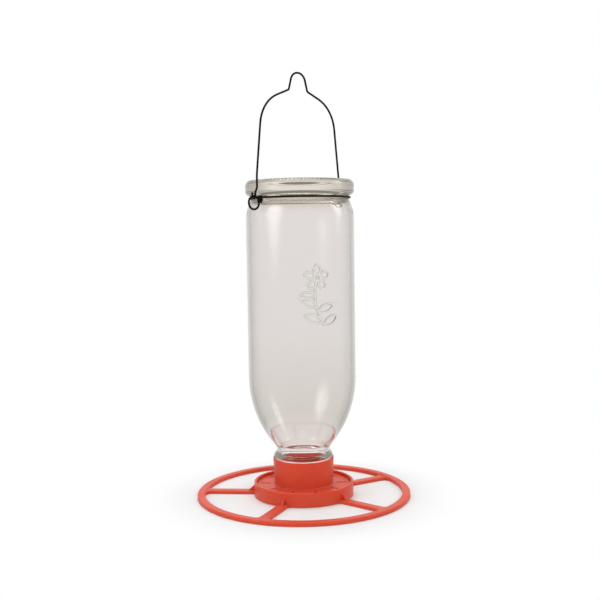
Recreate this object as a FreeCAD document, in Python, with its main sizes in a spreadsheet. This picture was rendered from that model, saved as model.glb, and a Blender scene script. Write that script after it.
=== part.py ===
import FreeCAD, Part
import math
import os
from types import SimpleNamespace

import Sketcher

# Nectar feeder: a glass bottle stands upside down in the collar of a slotted cover,
# the cover lies in a round dish, and the dish carries a perch ring on five spokes.
# Millimetres. The origin is on the table under the bottle's axis, with Z up.
# X runs through the two eyes that the hanging bail swings in.

FULL_TURN = 360
LEFT, RIGHT = 1, -1
Vector = FreeCAD.Vector

SIZES = {
    # Dish with its perch ring
    "trough_width": 14.6,
    "dish_height": 10.6,
    "lip_width": 2.0,
    "dish_floor": 2.2,
    "ledge_width": 1.0,
    "cover_recess": 2.0,
    "perch_radius": 80.0,
    "perch_width": 5.8,
    "perch_thickness": 3.0,
    "perch_rounding": 0.8,
    "perch_inside_rounding": 0.48,
    "spoke_count": 5,
    "spoke_angle": -12.2,
    "spoke_width": 7.0,
    "spoke_step": 0.6,
    "spoke_fillet": 3.5,
    "spoke_root_fillet": 2.0,
    "gusset_thickness": 1.5,
    "gusset_length": 5.0,
    "gusset_height": 4.4,
    "lip_rounding": 0.6,
    # Cover with its collar
    "cover_gap": 0.3,
    "cover_thickness": 1.8,
    "slot_count": 10,
    "slot_angle": -43.2,
    "slot_to_collar": 2.5,
    "slot_to_rim": 3.3,
    "slot_width": 2.0,
    "slot_bow": 0.54,
    "collar_wall": 2.2,
    "collar_height": 20.2,
    "collar_taper": 0.9,
    "collar_flare": 0.5,
    "collar_flare_height": 1.0,
    "mouth_wall": 0.8,
    "mouth_depth": 3.4,
    "thread_gap": 0.3,
    "spout_radius": 14.5,
    "spout_wall": 1.5,
    "spout_drop": 2.6,
    # Seal between the bottle's mouth and the cover
    "seal_thickness": 1.8,
    # Bottle
    "glass_wall": 3.0,
    "mouth_radius": 16.9,
    "finish_wall": 3.4,
    "bead_step": 1.7,
    "bead_lift": 1.5,
    "bead_round": 2.7,
    "neck_step": 0.3,
    "neck_length": 6.9,
    "neck_fillet": 5.0,
    "shoulder_height": 52.8,
    "body_radius": 40.0,
    "body_length": 116.0,
    "heel_height": 16.4,
    "groove_depth": 4.4,
    "groove_width": 1.6,
    "foot_step": 0.2,
    "foot_side": 4.0,
    "foot_under_round": 3.5,
    "foot_top_round": 4.0,
    "stand_width": 5.0,
    "punt_depth": 5.0,
    "bottom_thickness": 5.0,
    "cavity_round": 14.0,
    # Raised sprig on the glass
    "rib_height": 0.8,
    "rib_width": 1.6,
    "rib_root": 0.6,
    "sprig_angle": 249.5,
    "sprig_rise": 59.5,
    "stem_round": 40.0,
    "stem_bow": 6.0,
    "stem_lift": 4.0,
    "leaf_length": 13.0,
    "leaf_bow": 2.6,
    "petal_count": 5,
    "petal_length": 7.0,
    "petal_bow": 2.4,
    "blossom_radius": 2.2,
    # Wire hanger
    "wire_diameter": 1.5,
    "band_reach": 1.5,
    "band_rise": 0.1,
    "coil_reach": 2.6,
    "coil_offset": 1.2,
    "coil_turns": 4,
    "coil_pitch": 1.45,
    "coil_radius": 1.4,
    "coil_drop": 4.2,
    "eye_radius": 4.7,
    "eye_drop": 3.9,
    "hook_gap": 0.15,
    "hook_tail": 2.6,
    "hook_rise": 2.6,
    "jog_rise": 6.0,
    "leg_gap": 0.35,
    "leg_rise": 2.5,
    "leg_round": 30.0,
    "jog_round": 2.0,
    "arch_rise": 55.0,
    "arch_lean": 5.8,
    "arch_round": 26.0,
    "kink_rise": 10.3,
    "kink_reach": 9.3,
    "kink_round": 2.2,
    "hump_rise": 13.6,
    "hump_reach": 5.6,
    "hump_round": 7.0,
}

# The stem is one arc, and each leaf leaves it at an angle of that arc: (angle, lean, share of leaf_length)
STEM_ANGLES = (-33, 17)
LEAVES = ((-29, 20, 1), (-33, 150, 0.92), (-13, 32, 1), (-18, 158, 1), (0, -8, 0.85))


class Size:
    # A length that knows its value and the expression that gives it
    def __init__(self, value, text):
        self.value = value
        self.text = text

    def __add__(self, other):
        return joined(self, "+", other)

    def __sub__(self, other):
        return joined(self, "-", other)

    def __mul__(self, other):
        return joined(self, "*", other)

    def __truediv__(self, other):
        return joined(self, "/", other)

    def __neg__(self):
        return Size(-self.value, f"-({self.text})")


def joined(first, sign, second):
    if not isinstance(second, Size):
        second = Size(second, str(second))
    if sign == "+":
        value = first.value + second.value
    elif sign == "-":
        value = first.value - second.value
    elif sign == "*":
        value = first.value * second.value
    else:
        value = first.value / second.value
    return Size(value, f"({first.text} {sign} {second.text})")


doc = FreeCAD.newDocument("NectarFeeder")
sheet = doc.addObject("Spreadsheet::Sheet", "Sizes")
for row, (alias, amount) in enumerate(SIZES.items(), start=1):
    sheet.set(f"A{row}", alias)
    sheet.set(f"B{row}", str(amount))
    sheet.setAlias(f"B{row}", alias)
doc.recompute()
s = SimpleNamespace(**{alias: Size(sheet.get(alias), f"Sizes.{alias}") for alias in SIZES})


def bow_radius(half, bow):
    # Radius of an arc that bows this far from its chord, from half the chord
    return (half * half + bow * bow) / (bow * 2)


def other_leg(longest, leg):
    # The third side of a right-angled triangle
    value = math.sqrt(longest.value**2 - leg.value**2)
    return Size(value, f"sqrt({longest.text}^2 - ({leg.text})^2)")


# Places that several pieces share

plate_top = s.dish_height - s.cover_recess
plate_under = plate_top - s.cover_thickness
bottle_mouth = plate_top + s.seal_thickness
finish_radius = s.mouth_radius + s.finish_wall
collar_bore = finish_radius + s.thread_gap
collar_radius = collar_bore + s.collar_wall
collar_top = plate_top + s.collar_height
dish_radius = collar_radius + s.trough_width
well_radius = dish_radius - s.lip_width
body_start = collar_top + s.bead_lift + s.neck_length + s.shoulder_height
body_end = body_start + s.body_length
groove_radius = s.body_radius - s.groove_depth
groove_level = body_end + s.heel_height
foot_radius = s.body_radius + s.foot_step
foot_under = groove_level + s.groove_width
foot_low = foot_under + s.foot_under_round
foot_high = foot_low + s.foot_side
foot_top = foot_high + s.foot_top_round
wire_radius = s.wire_diameter / 2
band_radius = groove_radius + s.band_reach
band_level = groove_level + s.band_rise
coil_distance = band_radius + s.coil_reach
eye_distance = coil_distance + s.eye_radius
eye_level = band_level - s.eye_drop


# Sketch and feature helpers

ON_AXIS = Size(0, "0")
SAME = 0.01
NO_LENGTH = 0.0001


def add_sketch(body, name, role):
    sketch = body.newObject("Sketcher::SketchObject", name)
    plane = [f for f in body.Origin.OriginFeatures if f.Role == role][0]
    sketch.AttachmentSupport = [(plane, "")]
    sketch.MapMode = "FlatFace"
    return sketch


def pin_point(sketch, geometry, end, across, up):
    # Ties one end of a line or arc to the sketch's origin
    for kind, axis, size in (("DistanceX", -2, across), ("DistanceY", -1, up)):
        if size is ON_AXIS:
            sketch.addConstraint(Sketcher.Constraint("PointOnObject", geometry, end, axis))
            continue
        place = sketch.addConstraint(Sketcher.Constraint(kind, -1, 1, geometry, end, size.value))
        sketch.setExpression(f"Constraints[{place}]", size.text)


def arc_between(start, finish, radius, turn):
    # An arc that turns LEFT runs anticlockwise from start to finish
    chord = finish - start
    middle = (start + finish) * 0.5
    rise = math.sqrt(max(radius**2 - (chord.Length / 2) ** 2, 0))
    across = Vector(-chord.y, chord.x, 0).normalize()
    centre = middle + across * (rise * turn)
    first, last = (start, finish) if turn == LEFT else (finish, start)
    angles = [math.atan2(p.y - centre.y, p.x - centre.x) for p in (first, last)]
    if angles[1] < angles[0]:
        angles[1] += 2 * math.pi
    circle = Part.Circle(centre, Vector(0, 0, 1), radius)
    return Part.ArcOfCircle(circle, angles[0], angles[1])


def draw_outline(sketch, corners):
    # corners: (across, up) round a closed outline, with (radius, turn) added where an arc follows
    points = [Vector(across.value, up.value, 0) for across, up, *_ in corners]
    ends = []
    for i, (_, _, *bend) in enumerate(corners):
        finish = points[(i + 1) % len(points)]
        if bend:
            radius, turn = bend
            made = sketch.addGeometry(arc_between(points[i], finish, radius.value, turn), False)
            place = sketch.addConstraint(Sketcher.Constraint("Radius", made, radius.value))
            sketch.setExpression(f"Constraints[{place}]", radius.text)
            ends.append((made, 1, 2) if turn == LEFT else (made, 2, 1))
        else:
            made = sketch.addGeometry(Part.LineSegment(points[i], finish), False)
            ends.append((made, 1, 2))
    for i, (made, first, last) in enumerate(ends):
        after, after_first, _ = ends[(i + 1) % len(ends)]
        sketch.addConstraint(Sketcher.Constraint("Coincident", made, last, after, after_first))
        pin_point(sketch, made, first, *corners[i][:2])


def add_revolution(body, name, corners):
    sketch = add_sketch(body, name + "_outline", "XZ_Plane")
    draw_outline(sketch, corners)
    turned = body.newObject("PartDesign::Revolution", name)
    turned.Profile = sketch
    turned.ReferenceAxis = (sketch, ["V_Axis"])
    turned.Angle = FULL_TURN
    doc.recompute()
    return turned


def add_polar_pattern(body, name, originals, count):
    # Repeats features whose first sketch lies in the XY plane
    pattern = body.newObject("PartDesign::PolarPattern", name)
    pattern.Originals = originals
    pattern.Axis = (originals[0].Profile[0], ["N_Axis"])
    pattern.Angle = FULL_TURN
    pattern.setExpression("Occurrences", count.text)
    body.Tip = pattern
    doc.recompute()
    return pattern


def add_fillet(body, name, base, radius, wanted):
    # Rounds the edges of base that wanted picks
    chosen = [f"Edge{i}" for i, edge in enumerate(base.Shape.Edges, start=1) if wanted(edge)]
    if not chosen:
        raise ValueError(f"{name} found no edges")
    fillet = body.newObject("PartDesign::Fillet", name)
    fillet.Base = (base, chosen)
    fillet.setExpression("Radius", radius.text)
    doc.recompute()
    return fillet


def is_circle(edge, radius, level):
    if edge.Degenerated or not isinstance(edge.Curve, Part.Circle):
        return False
    return abs(edge.Curve.Radius - radius.value) < SAME and abs(edge.Curve.Center.z - level.value) < SAME


def turn_about_z(part, angle):
    part.Placement = FreeCAD.Placement(Vector(0, 0, 0), FreeCAD.Rotation(Vector(0, 0, 1), 0))
    part.setExpression("Placement.Rotation.Angle", angle.text)


# Dish and perch ring, one moulding


def make_nectar_dish():
    body = doc.addObject("PartDesign::Body", "nectar_dish")
    ledge = well_radius - s.ledge_width
    add_revolution(
        body,
        "dish",
        [
            (ON_AXIS, ON_AXIS),
            (dish_radius, ON_AXIS),
            (dish_radius, s.dish_height),
            (well_radius, s.dish_height),
            (well_radius, plate_under),
            (ledge, plate_under),
            (ledge, s.dish_floor),
            (ON_AXIS, s.dish_floor),
        ],
    )

    # Spokes and gussets start inside the lip, so that they join it well
    root = dish_radius - s.lip_width / 2
    tip = s.perch_radius - s.perch_width / 2
    half = s.spoke_width / 2
    spoke_thickness = s.perch_thickness - s.spoke_step
    spoke_sketch = add_sketch(body, "spoke_outline", "XY_Plane")
    draw_outline(spoke_sketch, [(root, -half), (tip, -half), (tip, half), (root, half)])
    spoke = body.newObject("PartDesign::Pad", "spoke")
    spoke.Profile = spoke_sketch
    spoke.setExpression("Length", spoke_thickness.text)
    doc.recompute()

    gusset_end = dish_radius + s.gusset_length
    gusset_top = spoke_thickness + s.gusset_height
    gusset_sketch = add_sketch(body, "gusset_outline", "XZ_Plane")
    draw_outline(
        gusset_sketch,
        [
            (root, spoke_thickness / 2),
            (gusset_end, spoke_thickness / 2),
            (gusset_end, spoke_thickness),
            (dish_radius, gusset_top),
            (root, gusset_top),
        ],
    )
    gusset = body.newObject("PartDesign::Pad", "gusset")
    gusset.Profile = gusset_sketch
    gusset.Midplane = True
    gusset.setExpression("Length", s.gusset_thickness.text)
    doc.recompute()
    add_polar_pattern(body, "spokes", [spoke, gusset], s.spoke_count)

    perch_inner = s.perch_radius - s.perch_width
    ring_sketch = add_sketch(body, "perch_outline", "XY_Plane")
    for radius in (s.perch_radius, perch_inner):
        circle = Part.Circle(Vector(0, 0, 0), Vector(0, 0, 1), radius.value)
        made = ring_sketch.addGeometry(circle, False)
        ring_sketch.addConstraint(Sketcher.Constraint("Coincident", made, 3, -1, 1))
        place = ring_sketch.addConstraint(Sketcher.Constraint("Radius", made, radius.value))
        ring_sketch.setExpression(f"Constraints[{place}]", radius.text)
    perch = body.newObject("PartDesign::Pad", "perch")
    perch.Profile = ring_sketch
    perch.setExpression("Length", s.perch_thickness.text)
    doc.recompute()

    def is_spoke_corner(edge, radius):
        ends = sorted((v.Point for v in edge.Vertexes), key=lambda point: point.z)
        if len(ends) < 2 or math.hypot(ends[0].x - ends[1].x, ends[0].y - ends[1].y) > SAME:
            return False
        return ends[0].z < SAME and abs(math.hypot(ends[0].x, ends[0].y) - radius.value) < SAME

    def spoke_corner(edge):
        return is_spoke_corner(edge, perch_inner)

    def spoke_root(edge):
        return is_spoke_corner(edge, dish_radius)

    def inner_edge(edge):
        return is_circle(edge, perch_inner, s.perch_thickness)

    def outer_edge(edge):
        return is_circle(edge, s.perch_radius, s.perch_thickness)

    def lip_edge(edge):
        return is_circle(edge, dish_radius, s.dish_height) or is_circle(edge, well_radius, s.dish_height)

    corners = add_fillet(body, "spoke_corners", perch, s.spoke_fillet, spoke_corner)
    roots = add_fillet(body, "spoke_roots", corners, s.spoke_root_fillet, spoke_root)
    inside = add_fillet(body, "perch_inner_edge", roots, s.perch_inside_rounding, inner_edge)
    rounded = add_fillet(body, "perch_outer_edge", inside, s.perch_rounding, outer_edge)
    add_fillet(body, "lip_edges", rounded, s.lip_rounding, lip_edge)
    turn_about_z(body, s.spoke_angle)
    return body


# Cover: slotted plate, collar for the bottle and a short spout below it


def make_feeding_cover():
    body = doc.addObject("PartDesign::Body", "feeding_cover")
    rim = well_radius - s.cover_gap
    spout_outer = s.spout_radius + s.spout_wall
    spout_end = plate_under - s.spout_drop
    collar_foot = collar_radius - s.collar_taper
    mouth = collar_radius - s.mouth_wall
    mouth_bottom = collar_top - s.mouth_depth
    add_revolution(
        body,
        "plate_and_collar",
        [
            (s.spout_radius, spout_end),
            (spout_outer, spout_end),
            (spout_outer, plate_under),
            (rim, plate_under),
            (rim, plate_top),
            (collar_foot + s.collar_flare, plate_top),
            (collar_foot, plate_top + s.collar_flare_height),
            (collar_radius, collar_top),
            (mouth, collar_top),
            (mouth, mouth_bottom),
            (collar_bore, mouth_bottom - (mouth - collar_bore)),
            (collar_bore, plate_top),
            (s.spout_radius, plate_top),
        ],
    )

    slot_inner = collar_radius + s.slot_to_collar
    slot_outer = rim - s.slot_to_rim
    half = s.slot_width / 2
    end_round = bow_radius(half, s.slot_bow)
    slot_sketch = add_sketch(body, "slot_outline", "XY_Plane")
    draw_outline(
        slot_sketch,
        [
            (slot_inner, -half),
            (slot_outer, -half, end_round, LEFT),
            (slot_outer, half),
            (slot_inner, half, end_round, LEFT),
        ],
    )
    slot = body.newObject("PartDesign::Pocket", "slot")
    slot.Profile = slot_sketch
    slot.Type = "ThroughAll"
    slot.Reversed = True
    doc.recompute()
    if slot.Shape.Volume >= slot.BaseFeature.Shape.Volume:
        raise ValueError("the slot cuts nothing")
    add_polar_pattern(body, "slots", [slot], s.slot_count)
    turn_about_z(body, s.slot_angle)
    return body


# Seal ring under the bottle's mouth


def make_mouth_seal():
    body = doc.addObject("PartDesign::Body", "mouth_seal")
    add_revolution(
        body,
        "ring",
        [
            (s.mouth_radius, plate_top),
            (finish_radius, plate_top),
            (finish_radius, bottle_mouth),
            (s.mouth_radius, bottle_mouth),
        ],
    )
    return body


# Bottle, mouth down, with its foot uppermost


def make_bottle_blank():
    body = doc.addObject("PartDesign::Body", "bottle_blank")
    neck_radius = finish_radius - s.neck_step
    bead_level = collar_top + s.bead_lift
    bead_centre = finish_radius + s.bead_step - s.bead_round
    bead_low = bead_level - other_leg(s.bead_round, finish_radius - bead_centre)
    bead_high = bead_level + other_leg(s.bead_round, neck_radius - bead_centre)
    shoulder_foot = bead_level + s.neck_length
    shoulder_round = bow_radius(s.shoulder_height, s.body_radius - neck_radius)
    heel_round = bow_radius(s.heel_height, s.groove_depth)

    # The inside of the shoulder runs at the wall's thickness from its outside
    inner_body = s.body_radius - s.glass_wall
    inner_round = shoulder_round - s.glass_wall
    inner_foot = body_start - other_leg(inner_round, inner_round - (inner_body - s.mouth_radius))
    ceiling = foot_top - s.punt_depth - s.bottom_thickness
    stand = foot_radius - s.foot_top_round - s.stand_width
    blank = add_revolution(
        body,
        "glass",
        [
            (s.mouth_radius, bottle_mouth),
            (finish_radius, bottle_mouth),
            (finish_radius, bead_low, s.bead_round, LEFT),
            (neck_radius, bead_high),
            (neck_radius, shoulder_foot, shoulder_round, LEFT),
            (s.body_radius, body_start),
            (s.body_radius, body_end, heel_round, LEFT),
            (groove_radius, groove_level),
            (foot_radius - s.foot_under_round, foot_under, s.foot_under_round, LEFT),
            (foot_radius, foot_low),
            (foot_radius, foot_high, s.foot_top_round, LEFT),
            (foot_radius - s.foot_top_round, foot_top),
            (stand, foot_top, bow_radius(stand, s.punt_depth), RIGHT),
            (ON_AXIS, foot_top - s.punt_depth),
            (ON_AXIS, ceiling),
            (inner_body - s.cavity_round, ceiling, s.cavity_round, RIGHT),
            (inner_body, ceiling - s.cavity_round),
            (inner_body, body_start, inner_round, RIGHT),
            (s.mouth_radius, inner_foot),
        ],
    )

    def neck_corner(edge):
        return is_circle(edge, neck_radius, shoulder_foot)

    add_fillet(body, "neck_blend", blank, s.neck_fillet, neck_corner)
    return body


def polar(reach, angle):
    return Vector(reach * math.cos(math.radians(angle)), reach * math.sin(math.radians(angle)), 0)


def leaf_ribs(root, length, lean, bow):
    # A leaf is two arcs that meet at its root and at its tip
    half = length / 2
    radius = (half**2 + bow**2) / (2 * bow)
    reach = math.degrees(math.asin(half / radius))
    middle = root + polar(half, lean)
    sides = (lean + 90, lean - 90)
    return [(middle - polar(radius - bow, side), radius, side - reach, side + reach) for side in sides]


def make_sprig():
    # Ribs of a plain leafy sprig with a blossom, as (centre, radius, start angle, end angle) arcs
    stem_centre = Vector(s.stem_bow.value - s.stem_round.value, s.stem_lift.value, 0)
    ribs = [(stem_centre, s.stem_round.value, *STEM_ANGLES)]
    for angle, lean, share in LEAVES:
        root = stem_centre + polar(s.stem_round.value, angle)
        ribs += leaf_ribs(root, s.leaf_length.value * share, lean, s.leaf_bow.value)
    blossom = stem_centre + polar(s.stem_round.value, STEM_ANGLES[1])
    ribs.append((blossom, s.blossom_radius.value, 0, FULL_TURN))
    for petal in range(int(s.petal_count.value)):
        lean = FULL_TURN * (petal / s.petal_count.value + 1 / 4)
        root = blossom + polar(s.blossom_radius.value, lean)
        ribs += leaf_ribs(root, s.petal_length.value, lean, s.petal_bow.value)
    return ribs


def rib_prism(rib, near, far):
    # The rib's flat outline in the plane that faces away from the bottle, pushed out from near to far
    middle, radius, start, end = rib
    centre = Vector(middle.x, near, middle.y)
    outer = radius + s.rib_width.value / 2
    inner = radius - s.rib_width.value / 2

    def at(reach, angle):
        place = polar(reach, angle)
        return centre + Vector(place.x, 0, place.y)

    if end - start >= FULL_TURN:
        discs = [Part.Face(Part.Wire([Part.makeCircle(r, centre, Vector(0, -1, 0))])) for r in (outer, inner)]
        face = discs[0].cut(discs[1])
    else:
        halfway = (start + end) / 2
        outside = Part.Arc(at(outer, start), at(outer, halfway), at(outer, end))
        inside = Part.Arc(at(inner, end), at(inner, halfway), at(inner, start))
        first = Part.LineSegment(at(inner, start), at(outer, start))
        last = Part.LineSegment(at(outer, end), at(inner, end))
        face = Part.Face(Part.Wire([edge.toShape() for edge in (outside, last, inside, first)]))
    return face.extrude(Vector(0, far - near, 0))


def make_glass_bottle():
    blank = make_bottle_blank()
    crest = s.body_radius + s.rib_height
    root = s.body_radius - s.rib_root
    prisms = [rib_prism(rib, crest.value / 2, crest.value + s.rib_height.value) for rib in make_sprig()]
    flat_sprig = doc.addObject("Part::Feature", "flat_sprig")
    flat_sprig.Shape = prisms[0].multiFuse(prisms[1:])
    flat_sprig.Placement = FreeCAD.Placement(
        Vector(0, 0, (body_start + s.sprig_rise).value),
        FreeCAD.Rotation(Vector(0, 0, 1), s.sprig_angle.value - FULL_TURN / 4),
    )
    limits = []
    for name, radius in (("sprig_crest", crest), ("sprig_root", root)):
        limit = doc.addObject("Part::Cylinder", name)
        limit.setExpression("Radius", radius.text)
        limit.setExpression("Height", s.body_length.text)
        limit.setExpression("Placement.Base.z", body_start.text)
        limits.append(limit)
    shell = doc.addObject("Part::Cut", "sprig_shell")
    shell.Base, shell.Tool = limits
    sprig = doc.addObject("Part::Common", "sprig")
    sprig.Base = flat_sprig
    sprig.Tool = shell
    bottle = doc.addObject("Part::MultiFuse", "glass_bottle")
    bottle.Shapes = [blank, sprig]
    bottle.Refine = True
    doc.recompute()
    return bottle


# Wire hanger


def add_coil(word, side):
    # A tight coil of the band's wire: its turns touch, so it is turned as one scalloped rod
    body = doc.addObject("PartDesign::Body", f"{word}_coil")
    valley = s.coil_radius + other_leg(wire_radius, s.coil_pitch / 2)
    low = band_level - s.coil_drop
    turns = int(s.coil_turns.value)
    levels = [low + s.coil_pitch * turn for turn in range(turns + 1)]
    scallops = [(valley, level, wire_radius, LEFT) for level in levels[:-1]]
    add_revolution(
        body,
        f"{word}_turns",
        [(ON_AXIS, levels[0]), *scallops, (valley, levels[-1]), (ON_AXIS, levels[-1])],
    )
    body.setExpression("Placement.Base.x", f"{side} * {coil_distance.text}")
    body.setExpression("Placement.Base.y", f"{side} * {s.coil_offset.text}")
    return body


def make_neck_band():
    hoop = doc.addObject("Part::Torus", "hoop")
    hoop.setExpression("Radius1", band_radius.text)
    hoop.setExpression("Radius2", wire_radius.text)
    hoop.setExpression("Placement.Base.z", band_level.text)
    pieces = [hoop]
    for word, side in (("left", -1), ("right", 1)):
        pieces.append(add_coil(word, side))
        eye = doc.addObject("Part::Torus", f"{word}_eye")
        eye.setExpression("Radius1", s.eye_radius.text)
        eye.setExpression("Radius2", wire_radius.text)
        eye.Placement = FreeCAD.Placement(Vector(0, 0, 0), FreeCAD.Rotation(Vector(1, 0, 0), FULL_TURN / 4))
        eye.setExpression("Placement.Base.x", f"{side} * {eye_distance.text}")
        eye.setExpression("Placement.Base.z", eye_level.text)
        pieces.append(eye)
    band = doc.addObject("Part::MultiFuse", "neck_band")
    band.Shapes = pieces
    doc.recompute()
    return band


def rounded_path(corners):
    # Straight runs joined by tangent arcs, through (point, radius) corners
    edges = []
    last = corners[0][0]
    for i in range(1, len(corners) - 1):
        point, radius = corners[i]
        inward = (point - corners[i - 1][0]).normalize()
        onward = (corners[i + 1][0] - point).normalize()
        half_turn = inward.getAngle(onward) / 2
        start = point - inward * (radius * math.tan(half_turn))
        finish = point + onward * (radius * math.tan(half_turn))
        towards = (onward - inward).normalize()
        middle = point + towards * (radius / math.cos(half_turn) - radius)
        if (start - last).Length > NO_LENGTH:
            edges.append(Part.LineSegment(last, start).toShape())
        edges.append(Part.Arc(start, middle, finish).toShape())
        last = finish
    edges.append(Part.LineSegment(last, corners[-1][0]).toShape())
    return Part.Wire(edges)


def make_hanging_bail():
    # Each end hooks through the top of an eye, with its tail on one side and the leg on the other
    hook = (s.wire_diameter + s.hook_gap).value
    eye_reach = eye_distance.value
    pivot = (eye_level + s.eye_radius).value
    leg_distance = (foot_radius + s.leg_gap + wire_radius).value
    leg_top = (foot_top + s.leg_rise).value
    arch_reach = leg_distance - s.arch_lean.value
    arch_level = (foot_top + s.arch_rise).value
    kink_level = arch_level + s.kink_rise.value
    hump_level = kink_level + s.hump_rise.value - wire_radius.value
    half = [
        (Vector(eye_reach, hook, pivot + s.hook_tail.value), 0),
        (Vector(eye_reach, hook, pivot - hook), hook),
        (Vector(eye_reach, -hook, pivot - hook), hook),
        (Vector(eye_reach, -hook, pivot + s.hook_rise.value), s.jog_round.value),
        (Vector(leg_distance, 0, pivot + s.jog_rise.value), s.jog_round.value),
        (Vector(leg_distance, 0, leg_top), s.leg_round.value),
        (Vector(arch_reach, 0, arch_level), s.arch_round.value),
        (Vector(s.kink_reach.value, 0, kink_level), s.kink_round.value),
        (Vector(s.hump_reach.value, 0, hump_level), s.hump_round.value),
    ]
    other = [(Vector(-point.x, point.y, point.z), radius) for point, radius in reversed(half)]
    path = doc.addObject("Part::Feature", "bail_path")
    path.Shape = rounded_path(half + other)
    section = doc.addObject("Part::Circle", "bail_section")
    section.setExpression("Radius", wire_radius.text)
    section.Placement = FreeCAD.Placement(half[0][0], FreeCAD.Rotation())
    bail = doc.addObject("Part::Sweep", "hanging_bail")
    bail.Sections = [section]
    bail.Spine = (path, [f"Edge{i}" for i in range(1, len(path.Shape.Edges) + 1)])
    bail.Solid = True
    bail.Frenet = False
    doc.recompute()
    wire_volume = math.pi * wire_radius.value**2 * path.Shape.Length
    if abs(bail.Shape.Volume - wire_volume) > SAME * wire_volume:
        raise ValueError("the bail's wire isn't round all along")
    return bail


parts = [
    make_nectar_dish(),
    make_feeding_cover(),
    make_mouth_seal(),
    make_glass_bottle(),
    make_neck_band(),
    make_hanging_bail(),
]
doc.recompute()

for thing in doc.Objects:
    if "Invalid" in thing.State or "Error" in thing.State:
        raise ValueError(f"{thing.Name} failed: {thing.State}")
for part in parts:
    if part.Shape.isNull() or not part.Shape.isValid():
        raise ValueError(f"{part.Label} has no valid shape")
    print(part.Label, len(part.Shape.Solids), "solid", round(part.Shape.Volume / 1000, 2), "cm3")

os.makedirs("parts", exist_ok=True)
for part in parts:
    part.Shape.exportStep(f"parts/{part.Label}.step")
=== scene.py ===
import math

import bmesh
import bpy
from mathutils import Matrix, Vector


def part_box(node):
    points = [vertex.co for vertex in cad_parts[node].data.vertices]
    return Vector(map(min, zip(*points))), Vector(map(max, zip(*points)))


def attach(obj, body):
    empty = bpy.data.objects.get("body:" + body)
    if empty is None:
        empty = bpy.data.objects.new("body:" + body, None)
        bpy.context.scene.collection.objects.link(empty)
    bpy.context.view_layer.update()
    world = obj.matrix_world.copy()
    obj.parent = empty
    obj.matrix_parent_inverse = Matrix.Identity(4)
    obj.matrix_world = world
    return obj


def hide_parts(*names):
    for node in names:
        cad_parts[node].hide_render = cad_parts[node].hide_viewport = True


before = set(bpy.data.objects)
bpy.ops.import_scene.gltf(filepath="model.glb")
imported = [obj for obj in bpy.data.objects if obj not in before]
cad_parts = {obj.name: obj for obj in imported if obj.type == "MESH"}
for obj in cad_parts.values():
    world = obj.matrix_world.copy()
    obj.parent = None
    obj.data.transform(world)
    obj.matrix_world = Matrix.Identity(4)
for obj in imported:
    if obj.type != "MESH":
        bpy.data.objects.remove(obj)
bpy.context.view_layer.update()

# Nectar feeder: a clear bottle stands upside down in a red base and hangs by a wire bail.
# Metres, with Z up. The origin is on the table under the bottle's axis.

fullTurn = 2 * math.pi
tiny = 1e-7      # points this close are one point
nearby = 1e-5    # a vertex this close to a wall or a level counts as on it
bottleLow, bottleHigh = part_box("glass_bottle")
mouthLevel = bottleLow[2]
footTop = bottleHigh[2]


# Small helpers for shapes

def arcPoints(centre, radius, start, end, steps):
    # Points of an arc in the upright half-plane of (radius, level), both ends included, angles in degrees
    points = []
    for i in range(steps + 1):
        angle = math.radians(start + (end - start) * i / steps)
        points.append((centre[0] + radius * math.cos(angle), centre[1] + radius * math.sin(angle)))
    return points


def linePoints(start, end, steps):
    # Points between two ends, without the ends
    share = [i / steps for i in range(1, steps)]
    return [(start[0] + (end[0] - start[0]) * t, start[1] + (end[1] - start[1]) * t) for t in share]


def bowRadius(half, bow):
    # Radius of an arc that bows this far from its chord, from half the chord
    return (half * half + bow * bow) / (2 * bow)


def turnOutline(bm, points, steps, closed=True):
    # Turns an outline of (radius, level) points once round the Z axis
    verts = [bm.verts.new((r, 0, z)) for r, z in points]
    pairs = list(zip(verts, verts[1:]))
    if closed:
        pairs.append((verts[-1], verts[0]))
    edges = [bm.edges.new(pair) for pair in pairs]
    bmesh.ops.spin(bm, geom=verts + edges, cent=(0, 0, 0), axis=(0, 0, 1), dvec=(0, 0, 0),
                   angle=fullTurn, steps=steps, use_merge=True, use_duplicate=False)
    bmesh.ops.remove_doubles(bm, verts=bm.verts, dist=tiny)
    bmesh.ops.recalc_face_normals(bm, faces=bm.faces)


def linkedObject(name, data):
    made = bpy.data.objects.new(name, data)
    bpy.context.scene.collection.objects.link(made)
    return made


def meshObject(bm, name):
    mesh = bpy.data.meshes.new(name)
    bm.to_mesh(mesh)
    bm.free()
    return linkedObject(name, mesh)


def evaluatedMesh(drawn):
    # The object's mesh after its modifiers or its tube are worked out, welded, as a new bmesh
    bpy.context.view_layer.update()
    solid = bpy.data.meshes.new_from_object(drawn.evaluated_get(bpy.context.evaluated_depsgraph_get()))
    bm = bmesh.new()
    bm.from_mesh(solid)
    bmesh.ops.remove_doubles(bm, verts=bm.verts, dist=tiny)
    return bm


def finishPiece(bm, name, material, body, node, sharp):
    # Makes the mesh an object of the feeder that rides on a body and stands for a CAD node.
    # Edges that turn by more than the sharp angle, in degrees, stay sharp.
    piece = meshObject(bm, name)
    mesh = piece.data
    for face in mesh.polygons:
        face.use_smooth = True
    mesh.set_sharp_from_angle(angle=math.radians(sharp))
    mesh.materials.append(material)
    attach(piece, body)
    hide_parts(node)
    print(name, len(mesh.polygons), "faces")


def bump01(distance, half):
    # A smooth hump, 1 in the middle and 0 at half its width
    return 0.5 + 0.5 * math.cos(math.pi * min(distance / half, 1))


# Helpers for materials

noiseSpread = (0.3, 0.7)    # noise seldom leaves this range


def newMaterial(name):
    material = bpy.data.materials.new(name)
    material.use_nodes = True
    tree = material.node_tree
    return material, tree, tree.nodes["Principled BSDF"]


def plug(tree, value, socket):
    # Links another socket in, or sets a plain value
    if isinstance(value, bpy.types.NodeSocket):
        tree.links.new(value, socket)
    else:
        socket.default_value = value


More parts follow.
